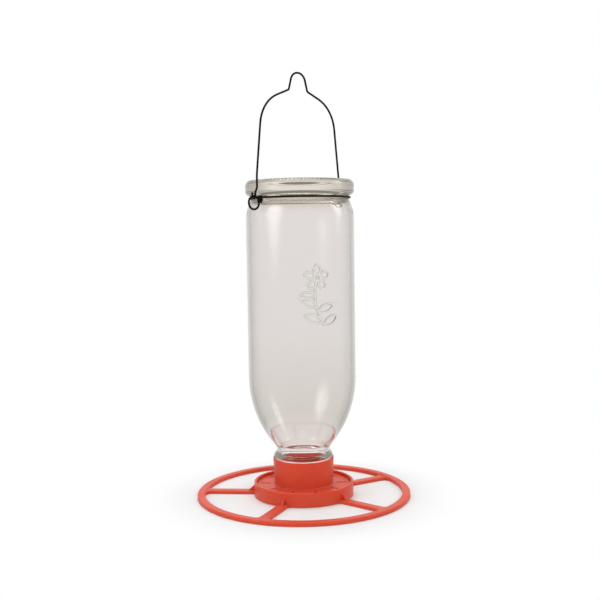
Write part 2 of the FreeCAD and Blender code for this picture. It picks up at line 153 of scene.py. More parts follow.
def coordinates(tree):
    return tree.nodes.new("ShaderNodeTexCoord").outputs["Object"]


def mathOf(tree, operation, first, second):
    node = tree.nodes.new("ShaderNodeMath")
    node.operation = operation
    plug(tree, first, node.inputs[0])
    plug(tree, second, node.inputs[1])
    return node.outputs["Value"]


def vectorOf(tree, operation, result, first, second=(0, 0, 0)):
    node = tree.nodes.new("ShaderNodeVectorMath")
    node.operation = operation
    plug(tree, first, node.inputs[0])
    plug(tree, second, node.inputs[1])
    return node.outputs[result]


def noiseOf(tree, scale, detail, roughness=0.5):
    # Noise on the object's own coordinates
    noise = tree.nodes.new("ShaderNodeTexNoise")
    noise.inputs["Scale"].default_value = scale
    noise.inputs["Detail"].default_value = detail
    noise.inputs["Roughness"].default_value = roughness
    tree.links.new(coordinates(tree), noise.inputs["Vector"])
    return noise.outputs["Fac"]


def rangeOf(tree, value, source, target=(0, 1), smooth=False):
    # Maps a value from one range to another
    spread = tree.nodes.new("ShaderNodeMapRange")
    spread.interpolation_type = "SMOOTHSTEP" if smooth else "LINEAR"
    for name, limit in zip(("From Min", "From Max", "To Min", "To Max"), (*source, *target)):
        spread.inputs[name].default_value = limit
    tree.links.new(value, spread.inputs["Value"])
    return spread.outputs["Result"]


def rampOf(tree, value, stops):
    # A colour ramp through (position, colour) stops
    ramp = tree.nodes.new("ShaderNodeValToRGB")
    elements = ramp.color_ramp.elements
    while len(elements) < len(stops):
        elements.new(0.5)
    for element, (position, colour) in zip(elements, stops):
        element.position = position
        element.color = (*colour, 1)
    tree.links.new(value, ramp.inputs["Fac"])
    return ramp.outputs["Color"]


def mixColours(tree, share, first, second):
    # The first may be a socket
    mix = tree.nodes.new("ShaderNodeMix")
    mix.data_type = "RGBA"
    plug(tree, (*first, 1) if isinstance(first, tuple) else first, mix.inputs["A"])
    mix.inputs["B"].default_value = (*second, 1)
    tree.links.new(share, mix.inputs["Factor"])
    return mix.outputs["Result"]


def mixShaders(tree, share, first, second):
    mix = tree.nodes.new("ShaderNodeMixShader")
    tree.links.new(share, mix.inputs["Fac"])
    tree.links.new(first, mix.inputs[1])
    tree.links.new(second, mix.inputs[2])
    return mix.outputs["Shader"]


def bumpOf(tree, height, strength, distance):
    bump = tree.nodes.new("ShaderNodeBump")
    bump.inputs["Strength"].default_value = strength
    bump.inputs["Distance"].default_value = distance
    tree.links.new(height, bump.inputs["Height"])
    return bump.outputs["Normal"]


# Materials

plasticLook = {
    "deepRed": (0.58, 0.062, 0.028),
    "paleRed": (0.64, 0.074, 0.034),
    "gloss": 0.22,
    "rough": (0.30, 0.40),
    "cloudScale": 38.0,
    "cloudDetail": 4.0,
    "peelScale": 950.0,
    "peelDetail": 2.0,
    "peelStrength": 0.35,
    "peelDepth": 0.00006,
    "softness": 0.45,
    "softRadius": (0.004, 0.001, 0.0005),
    "softScale": 1.0,
}


def makePlastic(g):
    material, tree, shader = newMaterial("redMoulding")
    clouds = noiseOf(tree, g["cloudScale"], g["cloudDetail"])
    tree.links.new(mixColours(tree, clouds, g["deepRed"], g["paleRed"]), shader.inputs["Base Color"])
    tree.links.new(rangeOf(tree, clouds, noiseSpread, g["rough"]), shader.inputs["Roughness"])
    peel = noiseOf(tree, g["peelScale"], g["peelDetail"])
    tree.links.new(bumpOf(tree, peel, g["peelStrength"], g["peelDepth"]), shader.inputs["Normal"])
    shader.inputs["Specular IOR Level"].default_value = g["gloss"]
    shader.inputs["Subsurface Weight"].default_value = g["softness"]
    shader.inputs["Subsurface Radius"].default_value = g["softRadius"]
    shader.inputs["Subsurface Scale"].default_value = g["softScale"]
    return material


glassLook = {
    # The glass's tint by height, with painted shade that greys it all over except at the neck
    "tintsAndShade": (
        (0.000, (0.990, 0.985, 0.980)),
        (0.033, (0.980, 0.970, 0.960)),
        (0.040, (0.870, 0.842, 0.822)),
        (0.055, (0.833, 0.803, 0.772)),
        (0.120, (0.892, 0.866, 0.852)),
        (0.210, (0.900, 0.874, 0.862)),
        (0.223, (0.805, 0.750, 0.680)),
        (0.236, (0.760, 0.700, 0.615)),
    ),
    # Painted shade at the glass's edges and on the sprig's steep sides
    "paintedEdgeShade": (0.75, 0.73, 0.65),
    "edgeBlend": 0.5,
    "edgeStart": 0.40,
    "edgeLow": 0.034,
    "edgeFade": 0.010,
    "paintedSteepShade": (0.50, 0.505, 0.46),
    "index": 1.5,
    "shade": (0.975, 0.970, 0.965),
    # Painted glow for rays caught long inside the wall
    "paintedGlow": (0.26, 0.245, 0.205),
    "mirrorings": 2.5,
    "waveScale": 12.0,
    "waveDetail": 1.0,
    "waveStrength": 0.2,
    "waveDepth": 0.0002,
}


def makeGlass(g):
    material, tree, shader = newMaterial("clearGlass")
    # The glass is thick under the shoulder and in the foot, so its tint is deeper there; the grey all over is
    # painted shade, left out at the neck, where the glass is nearly clear
    split = tree.nodes.new("ShaderNodeSeparateXYZ")
    tree.links.new(coordinates(tree), split.inputs["Vector"])
    height = rangeOf(tree, split.outputs["Z"], (0, footTop))
    body = rampOf(tree, height, [(min(level / footTop, 1), colour) for level, colour in g["tintsAndShade"]])

    # Painted shade: the walls are darkened towards their edges, and so are the steep sides of the raised sprig
    facing = tree.nodes.new("ShaderNodeLayerWeight")
    facing.inputs["Blend"].default_value = g["edgeBlend"]
    edge = rangeOf(tree, facing.outputs["Facing"], (g["edgeStart"], 1))
    above = rangeOf(tree, split.outputs["Z"], (g["edgeLow"], g["edgeLow"] + g["edgeFade"]))
    tint = mixColours(tree, mathOf(tree, "MULTIPLY", edge, above), body, g["paintedEdgeShade"])
    # Painted shade on the steep sides of the sprig's ribs
    steepShade = tree.nodes.new("ShaderNodeAttribute")
    steepShade.attribute_name = "steepShade"
    steep = mixColours(tree, steepShade.outputs["Fac"], tint, g["paintedSteepShade"])
    tree.links.new(steep, shader.inputs["Base Color"])
    shader.inputs["Roughness"].default_value = 0.0
    shader.inputs["IOR"].default_value = g["index"]
    shader.inputs["Transmission Weight"].default_value = 1.0
    wave = noiseOf(tree, g["waveScale"], g["waveDetail"])
    tree.links.new(bumpOf(tree, wave, g["waveStrength"], g["waveDepth"]), shader.inputs["Normal"])

    # Painted glow: what is mirrored to and fro inside the wall for long ends in a dull grey emission, not black
    path = tree.nodes.new("ShaderNodeLightPath").outputs
    glow = tree.nodes.new("ShaderNodeEmission")
    glow.inputs["Color"].default_value = (*g["paintedGlow"], 1)
    long = mathOf(tree, "GREATER_THAN", path["Glossy Depth"], g["mirrorings"])
    wall = mixShaders(tree, long, shader.outputs["BSDF"], glow.outputs["Emission"])

    # Lamps shine through the glass, so that it casts a faint shadow
    clear = tree.nodes.new("ShaderNodeBsdfTransparent")
    clear.inputs["Color"].default_value = (*g["shade"], 1)
    lit = mixShaders(tree, path["Is Shadow Ray"], wall, clear.outputs["BSDF"])
    tree.links.new(lit, tree.nodes["Material Output"].inputs["Surface"])
    return material


wireLook = {
    "coat": (0.004, 0.003, 0.003),
    "worn": (0.008, 0.007, 0.0065),
    "gloss": 0.08,
    "rough": (0.36, 0.50),
    "grainScale": 420.0,
    "grainDetail": 4.0,
    "grainRoughness": 0.6,
    "grainStrength": 0.3,
    "grainDepth": 0.00005,
}


def makeWire(g):
    material, tree, shader = newMaterial("blackWire")
    grain = noiseOf(tree, g["grainScale"], g["grainDetail"], g["grainRoughness"])
    tree.links.new(mixColours(tree, grain, g["coat"], g["worn"]), shader.inputs["Base Color"])
    tree.links.new(rangeOf(tree, grain, noiseSpread, g["rough"]), shader.inputs["Roughness"])
    tree.links.new(bumpOf(tree, grain, g["grainStrength"], g["grainDepth"]), shader.inputs["Normal"])
    shader.inputs["Specular IOR Level"].default_value = g["gloss"]
    return material


sealLook = {
    "milk": (0.78, 0.76, 0.71),
    "clear": (0.70, 0.68, 0.63),
    "rough": (0.42, 0.55),
    "mistScale": 260.0,
    "mistDetail": 3.0,
    "mistStrength": 0.2,
    "mistDepth": 0.00005,
    "softness": 0.3,
    "softScale": 0.002,
}


def makeSealRubber(g):
    material, tree, shader = newMaterial("sealRubber")
    mist = noiseOf(tree, g["mistScale"], g["mistDetail"])
    tree.links.new(mixColours(tree, mist, g["milk"], g["clear"]), shader.inputs["Base Color"])
    tree.links.new(rangeOf(tree, mist, noiseSpread, g["rough"]), shader.inputs["Roughness"])
    tree.links.new(bumpOf(tree, mist, g["mistStrength"], g["mistDepth"]), shader.inputs["Normal"])
    shader.inputs["Subsurface Weight"].default_value = g["softness"]
    shader.inputs["Subsurface Scale"].default_value = g["softScale"]
    return material


plastic = makePlastic(plasticLook)
glass = makeGlass(glassLook)
wireCoat = makeWire(wireLook)
sealRubber = makeSealRubber(sealLook)
print("materials ready")


# Glass bottle, mouth down

bottleSizes = {
    "mouthRadius": 0.0169,
    "threadRadius": 0.0203,
    "threadDepth": 0.0008,
    "threadPitch": 0.0040,
    "threadTurns": 2.2,
    "threadStart": 0.0032,
    "threadShare": 0.36,
    "threadFade": 8,
    "lipRound": 0.0008,
    "beadCentre": 0.0193,
    "beadLevel": 0.0303,
    "beadRound": 0.0027,
    "neckRadius": 0.0200,
    "neckFillet": 0.0050,
    "innerFillet": 0.0070,
    "bodyRadius": 0.0400,
    "bodyStart": 0.0900,
    "shoulderHeight": 0.0528,
    "bodyEnd": 0.2060,
    "heelHeight": 0.0164,
    "grooveDepth": 0.0044,
    "footRadius": 0.0402,
    "footUnder": 0.2240,
    "footUnderRound": 0.0035,
    "footSide": 0.0040,
    "footTopRound": 0.0040,
    "standWidth": 0.0050,
    "puntDepth": 0.0050,
    "wall": 0.0030,
    "bottomThickness": 0.0050,
    "cavityRound": 0.0140,
    "knurlCount": 84,
    "knurlDepth": 0.0005,
    "knurlMargin": 0.0002,
    "knurlSlope": 66,
    "knurlSpread": 32,
    "steps": 252,
    # How many steps each stretch of the outline gets
    "rows": {"ceiling": 3, "cavity": 10, "inside": 4, "innerShoulder": 22, "innerNeck": 10, "mouth": 2, "lip": 4,
             "finish": 28, "bead": 14, "outerNeck": 8, "outerShoulder": 28, "wall": 4, "patch": 46, "heel": 10,
             "groove": 3, "footUnder": 8, "footSide": 4, "footTop": 12, "stand": 4, "punt": 10},
    "sharp": 40,
}

sprigSizes = {
    "azimuth": math.radians(249.5),
    "level": 0.1495,
    "ribHeight": 0.0008,
    "ribHalf": 0.00105,
    "ribFlank": 0.00075,
    "patchCuts": 3,
    "stemRound": 0.0400,
    "stemBow": 0.0060,
    "stemLift": 0.0040,
    "stemAngles": (-33, 17),
    # Each leaf's place on the stem's arc, its lean and its share of the full length
    "leaves": ((-29, 20, 1), (-33, 150, 0.92), (-13, 32, 1), (-18, 158, 1), (0, -8, 0.85)),
    "leafLength": 0.0130,
    "leafBow": 0.0026,
    "petalCount": 5,
    "petalLength": 0.0070,
    "petalBow": 0.0024,
    "blossomRadius": 0.0022,
    "patchHalf": math.radians(29),
    "patchLow": 0.1215,
    "patchHigh": 0.1785,
}


def neckBlend(shoulderCentre, shoulderRound, neckRadius, fillet):
    # Centre of the arc that touches both the neck and the shoulder's arc, and how far the shoulder turns to it
    across = neckRadius + fillet
    reach = shoulderRound + fillet
    turn = math.acos((across - shoulderCentre[0]) / reach)
    return (across, shoulderCentre[1] - reach * math.sin(turn)), math.degrees(turn)


def bottleOutline(b):
    # Inside from the axis down to the mouth
    rows, lip = b["rows"], b["lipRound"]
    inner = b["bodyRadius"] - b["wall"]
    ceiling = footTop - b["puntDepth"] - b["bottomThickness"]
    cavity = (inner - b["cavityRound"], ceiling - b["cavityRound"])
    points = [(0, ceiling)]
    points += linePoints((0, ceiling), (cavity[0], ceiling), rows["ceiling"])
    points += arcPoints(cavity, b["cavityRound"], 90, 0, rows["cavity"])
    points += linePoints(points[-1], (inner, b["bodyStart"]), rows["inside"])
    shoulder = bowRadius(b["shoulderHeight"], b["bodyRadius"] - b["neckRadius"])
    shoulderCentre = (b["bodyRadius"] - shoulder, b["bodyStart"])
    innerRound = shoulder - b["wall"]
    innerBlend, innerTurn = neckBlend(shoulderCentre, innerRound, b["mouthRadius"], b["innerFillet"])
    points += arcPoints(shoulderCentre, innerRound, 0, -innerTurn, rows["innerShoulder"])
    points += arcPoints(innerBlend, b["innerFillet"], 180 - innerTurn, 180, rows["innerNeck"])[1:]
    points += linePoints(points[-1], (b["mouthRadius"], mouthLevel + lip), rows["mouth"])

    # Outside from the mouth up over the foot to the axis
    root = b["threadRadius"] - b["threadDepth"]
    points += arcPoints((b["mouthRadius"] + lip, mouthLevel + lip), lip, 180, 270, rows["lip"])
    points += arcPoints((root - lip, mouthLevel + lip), lip, 270, 360, rows["lip"])
    beadLow = (b["beadCentre"], b["beadLevel"] - b["beadRound"])
    points += linePoints(points[-1], beadLow, rows["finish"])
    beadEnd = math.degrees(math.acos((b["neckRadius"] - b["beadCentre"]) / b["beadRound"]))
    points += arcPoints((b["beadCentre"], b["beadLevel"]), b["beadRound"], -90, beadEnd, rows["bead"])

    outerBlend, outerTurn = neckBlend(shoulderCentre, shoulder, b["neckRadius"], b["neckFillet"])
    points += arcPoints(outerBlend, b["neckFillet"], 180, 180 - outerTurn, rows["outerNeck"])
    points += arcPoints(shoulderCentre, shoulder, -outerTurn, 0, rows["outerShoulder"])[1:]
    patchLow = (b["bodyRadius"], sprigSizes["patchLow"])
    patchHigh = (b["bodyRadius"], sprigSizes["patchHigh"])
    heel = bowRadius(b["heelHeight"], b["grooveDepth"])
    points += linePoints(points[-1], patchLow, rows["wall"]) + [patchLow]
    points += linePoints(patchLow, patchHigh, rows["patch"]) + [patchHigh]
    points += linePoints(patchHigh, (b["bodyRadius"], b["bodyEnd"]), rows["wall"])
    heelTurn = math.degrees(math.asin(b["heelHeight"] / heel))
    points += arcPoints((b["bodyRadius"] - heel, b["bodyEnd"]), heel, 0, heelTurn, rows["heel"])

    # Groove, foot and punt
    under = (b["footRadius"] - b["footUnderRound"], b["footUnder"] + b["footUnderRound"])
    over = (b["footRadius"] - b["footTopRound"], under[1] + b["footSide"])
    points += linePoints(points[-1], (under[0], b["footUnder"]), rows["groove"])
    points += arcPoints(under, b["footUnderRound"], -90, 0, rows["footUnder"])
    points += linePoints(points[-1], (b["footRadius"], over[1]), rows["footSide"])
    points += arcPoints(over, b["footTopRound"], 0, 90, rows["footTop"])
    stand = b["footRadius"] - b["footTopRound"] - b["standWidth"]
    points += linePoints(points[-1], (stand, footTop), rows["stand"])
    punt = bowRadius(stand, b["puntDepth"])
    puntTurn = math.degrees(math.asin(stand / punt))
    puntCentre = (0, footTop - b["puntDepth"] + punt)
    points += arcPoints(puntCentre, punt, -90 + puntTurn, -90, rows["punt"])
    return points


def polar(reach, degrees):
    return Vector((reach * math.cos(math.radians(degrees)), reach * math.sin(math.radians(degrees))))


def leafRibs(root, length, lean, bow):
    # A leaf is two arcs that meet at its root and at its tip
    radius = bowRadius(length / 2, bow)
    reach = math.degrees(math.asin(length / 2 / radius))
    middle = root + polar(length / 2, lean)
    return [(middle - polar(radius - bow, side), radius, side - reach, side + reach)
            for side in (lean + 90, lean - 90)]


def sprigRibs(g):
    # Arcs as (centre, radius, start, end) on the flat, across and up from the sprig's middle
    stem = Vector((g["stemBow"] - g["stemRound"], g["stemLift"]))
    ribs = [(stem, g["stemRound"], *g["stemAngles"])]
    for angle, lean, share in g["leaves"]:
        ribs += leafRibs(stem + polar(g["stemRound"], angle), g["leafLength"] * share, lean, g["leafBow"])
    blossom = stem + polar(g["stemRound"], g["stemAngles"][1])
    ribs.append((blossom, g["blossomRadius"], 0, 360))
    for petal in range(g["petalCount"]):
        lean = 90 + 360 * petal / g["petalCount"]
        ribs += leafRibs(blossom + polar(g["blossomRadius"], lean), g["petalLength"], lean, g["petalBow"])
    return ribs


def ribDistance(place, rib):
    centre, radius, start, end = rib
    offset = place - centre
    angle = math.degrees(math.atan2(offset.y, offset.x))
    if (angle - start) % 360 <= end - start:
        return abs(offset.length - radius)
    return min((place - centre - polar(radius, tip)).length for tip in (start, end))


def raiseSprig(bm, b, g):
    # Divides the faces under the sprig more finely, then lifts them where a rib passes
    outward = Vector((math.cos(g["azimuth"]), math.sin(g["azimuth"]), 0))
    across = Vector((outward.y, -outward.x, 0))
    skin = b["bodyRadius"] - b["wall"] / 2

    def inPatch(vert):
        flat = Vector((vert.co.x, vert.co.y, 0))
        level = g["patchLow"] - nearby < vert.co.z < g["patchHigh"] + nearby
        return level and flat.length > skin and flat.angle(outward) < g["patchHalf"]

    inside = {vert for vert in bm.verts if inPatch(vert)}
    edges = [edge for edge in bm.edges if edge.verts[0] in inside and edge.verts[1] in inside]
    bmesh.ops.subdivide_edges(bm, edges=edges, cuts=g["patchCuts"], use_grid_fill=True)
    ribs = sprigRibs(g)
    # 1 on the steep sides of the ribs, where the glass's colour gets painted shade
    steepShade = bm.verts.layers.float.new("steepShade")
    for vert in bm.verts:
        if not inPatch(vert):
            continue
        flat = Vector((vert.co.x, vert.co.y, 0))
        place = Vector((flat.dot(across), vert.co.z - g["level"]))
        nearest = min(ribDistance(place, rib) for rib in ribs)
        lift = bump01(max(nearest - g["ribHalf"] + g["ribFlank"], 0), g["ribFlank"])
        vert[steepShade] = 4 * lift * (1 - lift)
        reach = b["bodyRadius"] + g["ribHeight"] * lift
        vert.co.xy = (flat * (reach / flat.length)).xy


def raiseThread(bm, b, wall, depth, share, low, high):
    # A rounded ridge winds up a round wall from the low level and fades out at both ends
    for vert in bm.verts:
        flat = Vector((vert.co.x, vert.co.y, 0))
        if abs(flat.length - wall) > nearby or vert.co.z > high:
            continue
        turn = math.atan2(flat.y, flat.x) / fullTurn % 1
        ahead = (vert.co.z - low) / b["threadPitch"] - turn
        nearest = round(ahead)
        along = nearest + turn
        fade = min(along, b["threadTurns"] - along) * b["threadFade"]
        if fade > 0:
            ridge = bump01(abs(ahead - nearest), share) * min(fade, 1)
            vert.co.xy = (flat * ((wall + depth * ridge) / flat.length)).xy


def scallopFoot(bm, b):
    # Small scallops round the shoulder of the foot, pressed by the mould
    centre = Vector((b["footRadius"] - b["footTopRound"], footTop - b["footTopRound"]))
    for vert in bm.verts:
        flat = Vector((vert.co.x, vert.co.y, 0))
        offset = Vector((flat.length, vert.co.z)) - centre
        if min(offset) < b["knurlMargin"] or abs(offset.length - b["footTopRound"]) > nearby:
            continue
        slope = math.degrees(math.atan2(offset.y, offset.x))
        wave = 0.5 - 0.5 * math.cos(b["knurlCount"] * math.atan2(flat.y, flat.x))
        depth = b["knurlDepth"] * wave * bump01(abs(slope - b["knurlSlope"]), b["knurlSpread"])
        inward = offset.normalized() * depth
        reach = flat.length - inward.x
        vert.co = (flat.x / flat.length * reach, flat.y / flat.length * reach, vert.co.z - inward.y)


def makeBottle(b, g):
    bm = bmesh.new()
    turnOutline(bm, bottleOutline(b), b["steps"], closed=False)
    raiseThread(bm, b, b["threadRadius"] - b["threadDepth"], b["threadDepth"], b["threadShare"],
                mouthLevel + b["threadStart"], b["beadLevel"] - b["beadRound"])
    scallopFoot(bm, b)
    raiseSprig(bm, b, g)
    finishPiece(bm, "bottle", glass, "bottle", "glass_bottle", b["sharp"])


makeBottle(bottleSizes, sprigSizes)


# Seal ring between the bottle's mouth and the cover

sealSizes = {
    "inner": 0.0169,
    "outer": 0.0203,
    "edgeRound": 0.0004,
    "edgeRows": 4,
    "steps": 96,
    "sharp": 35,
}


def makeSeal(g):
    edge = g["edgeRound"]
    inner, outer = g["inner"] + edge, g["outer"] - edge
    under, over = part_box("mouth_seal")
    low, high = under[2] + edge, over[2] - edge
    points = []
    for across, level, start in ((inner, low, 180), (outer, low, 270), (outer, high, 0), (inner, high, 90)):
        points += arcPoints((across, level), edge, start, start + 90, g["edgeRows"])
    bm = bmesh.new()
    turnOutline(bm, points, g["steps"])
    finishPiece(bm, "sealRing", sealRubber, "seal", "mouth_seal", g["sharp"])


makeSeal(sealSizes)


# Wire hanger

wireSizes = {
    "radius": 0.00075,
    "roundness": 5,
    "sharp": 50,
    "bandRadius": 0.0371,
    "bandLevel": 0.2225,
    "bandSteps": 160,
    "coilDistance": 0.0397,
    "coilOffset": 0.0012,
    "coilRadius": 0.0014,
    "coilTurns": 4,
    "coilSteps": 22,
    "coilPitch": 0.00145,
    "coilDrop": 0.0042,
    "eyeRadius": 0.0047,
    "eyeDrop": 0.0039,
    "eyeSteps": 48,
    "hookGap": 0.00015,
    "hookTail": 0.0026,
    "hookRise": 0.0026,
    "legDistance": 0.0413,
    "jogTop": 0.2293,
    "jogRound": 0.0020,
    "legTop": 0.2380,
    "legRound": 0.0300,
    "archReach": 0.0355,
    "archLevel": 0.2905,
    "archRound": 0.0260,
    "kinkReach": 0.0093,
    "kinkLevel": 0.3008,
    "kinkRound": 0.0022,
    "humpReach": 0.0056,
    "humpRound": 0.0070,
    "turnStep": 7,
}


def makeWirePiece(runs, name, body, node):
    # Runs of wire as (points, closed), each a round tube
    curve = bpy.data.curves.new(name, "CURVE")
    curve.dimensions = "3D"
    curve.bevel_depth = wireSizes["radius"]
    curve.bevel_resolution = wireSizes["roundness"]
    curve.use_fill_caps = True
    curve.twist_mode = "MINIMUM"
    for points, closed in runs:
        spline = curve.splines.new("POLY")
        spline.points.add(len(points) - 1)
        for spot, place in zip(spline.points, points):
            spot.co = (*place, 1)
        spline.use_cyclic_u = closed
    drawn = linkedObject(name + "Curve", curve)
    bm = evaluatedMesh(drawn)
    bpy.data.objects.remove(drawn)
    bmesh.ops.recalc_face_normals(bm, faces=bm.faces)
    finishPiece(bm, name, wireCoat, body, node, wireSizes["sharp"])


def ringPoints(centre, radius, first, second, steps):
    # A circle in the plane of two directions
    turns = [fullTurn * i / steps for i in range(steps)]
    return [centre + (first * math.cos(a) + second * math.sin(a)) * radius for a in turns]


def makeBand(w):
    across, along, up = Vector((1, 0, 0)), Vector((0, 1, 0)), Vector((0, 0, 1))
    runs = [(ringPoints(up * w["bandLevel"], w["bandRadius"], across, along, w["bandSteps"]), True)]
    for side in (-1, 1):
        axis = across * (side * w["coilDistance"]) + along * (side * w["coilOffset"])
        steps = w["coilSteps"] * w["coilTurns"]
        low = w["bandLevel"] - w["coilDrop"] + w["radius"]
        rise = w["coilPitch"] * w["coilTurns"] - 2 * w["radius"]
        coil = []
        for i in range(steps + 1):
            turn = fullTurn * w["coilTurns"] * i / steps
            reach = (across * math.cos(turn) + along * math.sin(turn)) * w["coilRadius"]
            coil.append(axis + reach + up * (low + rise * i / steps))
        runs.append((coil, False))
        eye = across * (side * (w["coilDistance"] + w["eyeRadius"])) + up * (w["bandLevel"] - w["eyeDrop"])
        runs.append((ringPoints(eye, w["eyeRadius"], across, up, w["eyeSteps"]), True))
    makeWirePiece(runs, "neckBand", "bottle", "neck_band")


def roundedRun(corners, turnStep):
    # Points along straight runs joined by arcs, through (point, radius) corners
    points = [corners[0][0]]
    for before, (point, radius), after in zip(corners, corners[1:], corners[2:]):
        inward = (point - before[0]).normalized()
        onward = (after[0] - point).normalized()
        half = inward.angle(onward) / 2
        back = radius * math.tan(half)
        centre = point + (onward - inward).normalized() * (radius / math.cos(half))
        start = point - inward * back - centre
        steps = max(3, math.ceil(math.degrees(2 * half) / turnStep))
        turnAxis = inward.cross(onward)
        for i in range(steps + 1):
            points.append(centre + Matrix.Rotation(2 * half * i / steps, 3, turnAxis) @ start)
    points.append(corners[-1][0])
    return points


def makeBail(w):
    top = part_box("hanging_bail")[1][2]
    hook = 2 * w["radius"] + w["hookGap"]
    eye = w["coilDistance"] + w["eyeRadius"]
    pivot = w["bandLevel"] - w["eyeDrop"] + w["eyeRadius"]
    half = [
        (Vector((eye, hook, pivot + w["hookTail"])), 0),
        (Vector((eye, hook, pivot - hook)), hook),
        (Vector((eye, -hook, pivot - hook)), hook),
        (Vector((eye, -hook, pivot + w["hookRise"])), w["jogRound"]),
        (Vector((w["legDistance"], 0, w["jogTop"])), w["jogRound"]),
        (Vector((w["legDistance"], 0, w["legTop"])), w["legRound"]),
        (Vector((w["archReach"], 0, w["archLevel"])), w["archRound"]),
        (Vector((w["kinkReach"], 0, w["kinkLevel"])), w["kinkRound"]),
        (Vector((w["humpReach"], 0, top - w["radius"])), w["humpRound"]),
    ]
    other = [(Vector((-p.x, p.y, p.z)), radius) for p, radius in reversed(half)]
    makeWirePiece([(roundedRun(half + other, w["turnStep"]), False)], "hangingBail", "bail", "hanging_bail")


makeBand(wireSizes)
makeBail(wireSizes)


# Dish with its spokes and perch ring, one red moulding

dishSizes = {
    "outer": 0.0374,
    "lipInner": 0.0354,
    "ledge": 0.0344,
    "ledgeLevel": 0.0068,
    "floor": 0.0022,
    "lipRound": 0.0006,
    "footRound": 0.0005,
    "floorRound": 0.0015,
    "ringOuter": 0.0800,
    "ringInner": 0.0742,
    "ringHeight": 0.0030,
    "ringRounds": (0.0003, 0.0008, 0.00048),
    "spokeCount": 5,
    "spokeAngle": math.radians(-12.2),
    "spokeHalf": 0.0035,
    "spokeHeight": 0.0024,
    "tipFillet": 0.0045,
    "rootFillet": 0.0020,
    "overlap": 0.0010,
    "lift": 0.00001,
    "edgeRound": 0.0003,
    "edgeSteps": 3,
    "filletSteps": 7,
    "gussetHalf": 0.00075,
    "gussetReach": 0.0050,
    "gussetTop": 0.0068,
    "steps": 180,
    "sharp": 32,
}


def roundedLoop(corners, turnStep=12):
    # A closed outline of (across, up, radius) corners, with an arc at each corner that has a radius
    points = []
    for i, (across, up, radius) in enumerate(corners):
        here = Vector((across, up))
        inward = (here - Vector(corners[i - 1][:2])).normalized()
        onward = (Vector(corners[(i + 1) % len(corners)][:2]) - here).normalized()
        if not radius:
            points.append(tuple(here))
            continue
        turned = inward.angle_signed(onward)
        half = abs(turned) / 2
        centre = here + (onward - inward).normalized() * (radius / math.cos(half))
        start = here - inward * (radius * math.tan(half)) - centre
        steps = max(2, math.ceil(math.degrees(2 * half) / turnStep))
        for k in range(steps + 1):
            points.append(tuple(centre + Matrix.Rotation(-turned * k / steps, 2) @ start))
    return points


def joinShapes(main, others, operation):
    # Adds or cuts the other shapes one by one and gives the result as a new bmesh.
    # No two of them have faces in one plane, as such a join would leave stray edges.
    base = meshObject(main, "joinBase")
    tools = [meshObject(other, "joinTool") for other in others]
    for tool in tools:
        join = base.modifiers.new("join", "BOOLEAN")
        join.operation = operation
        join.solver = "EXACT"
        join.object = tool
    bm = evaluatedMesh(base)
    for shape in [base, *tools]:
        bpy.data.objects.remove(shape)
    return bm


def raisePlan(points, low, high):
    # A flat outline in plan, raised into a prism
    bm = bmesh.new()
    base = bm.faces.new([bm.verts.new((x, y, low)) for x, y in points])
    raised = bmesh.ops.extrude_face_region(bm, geom=[base])["geom"]
    top = [part for part in raised if isinstance(part, bmesh.types.BMVert)]
    bmesh.ops.translate(bm, vec=(0, 0, high - low), verts=top)
    bmesh.ops.recalc_face_normals(bm, faces=bm.faces)
    return bm


def roundEdges(bm, edges, d):
    bmesh.ops.bevel(bm, geom=edges, offset=d["edgeRound"], offset_type="OFFSET", segments=d["edgeSteps"],
                    profile=0.5, affect="EDGES", material=-1)


def spokePlan(d):
    # One side of a spoke in plan from its root to its tip, then the other side mirrored
    def fillet(radius, ring, outward):
        # A point inside a ring's wall, then the arc that leads from that wall to the spoke's side
        up = d["spokeHalf"] + radius
        reach = ring + outward * radius
        centre = (math.sqrt(reach * reach - up * up), up)
        towards = math.degrees(math.atan2(centre[1], centre[0]))
        ringSide = towards + 180 if outward > 0 else towards
        arc = arcPoints(centre, radius, ringSide, 270 if outward > 0 else -90, d["filletSteps"])
        beyond = ring - outward * d["overlap"]
        angle = math.radians(towards)
        return [(beyond * math.cos(angle), beyond * math.sin(angle))] + arc

    side = fillet(d["rootFillet"], d["outer"], 1) + fillet(d["tipFillet"], d["ringInner"], -1)[::-1]
    return side + [(x, -y) for x, y in reversed(side)]


def makeSpoke(d, turn):
    # Its underside is lifted a hair off the plane of the dish's
    bm = raisePlan(spokePlan(d), d["lift"], d["spokeHeight"])
    top = [edge for edge in bm.edges if all(vert.co.z > d["spokeHeight"] / 2 for vert in edge.verts)]
    low, high = d["outer"] - d["overlap"] / 2, d["ringInner"] + d["overlap"] / 2
    roundEdges(bm, [edge for edge in top if any(low < vert.co.xy.length < high for vert in edge.verts)], d)
    bmesh.ops.rotate(bm, cent=(0, 0, 0), matrix=Matrix.Rotation(turn, 3, "Z"), verts=bm.verts)
    return bm


def makeGusset(d, turn):
    # A small fin that props the dish's wall on a spoke, drawn on its side and then stood up.
    # Its slope runs on into the wall and into the spoke.
    root, low = d["outer"] - d["overlap"], d["spokeHeight"] / 2
    fall = (d["gussetTop"] - d["spokeHeight"]) / d["gussetReach"]
    reach = d["outer"] + (d["gussetTop"] - low) / fall
    bm = raisePlan([(root, low), (reach, low), (root, d["gussetTop"] + d["overlap"] * fall)],
                   -d["gussetHalf"], d["gussetHalf"])
    runs = [(edge, edge.verts[0].co - edge.verts[1].co) for edge in bm.edges]
    roundEdges(bm, [edge for edge, run in runs if abs(run.x) > tiny and abs(run.y) > tiny], d)
    stand = Matrix.Rotation(turn, 3, "Z") @ Matrix.Rotation(math.pi / 2, 3, "X")
    bmesh.ops.rotate(bm, cent=(0, 0, 0), matrix=stand, verts=bm.verts)
    return bm


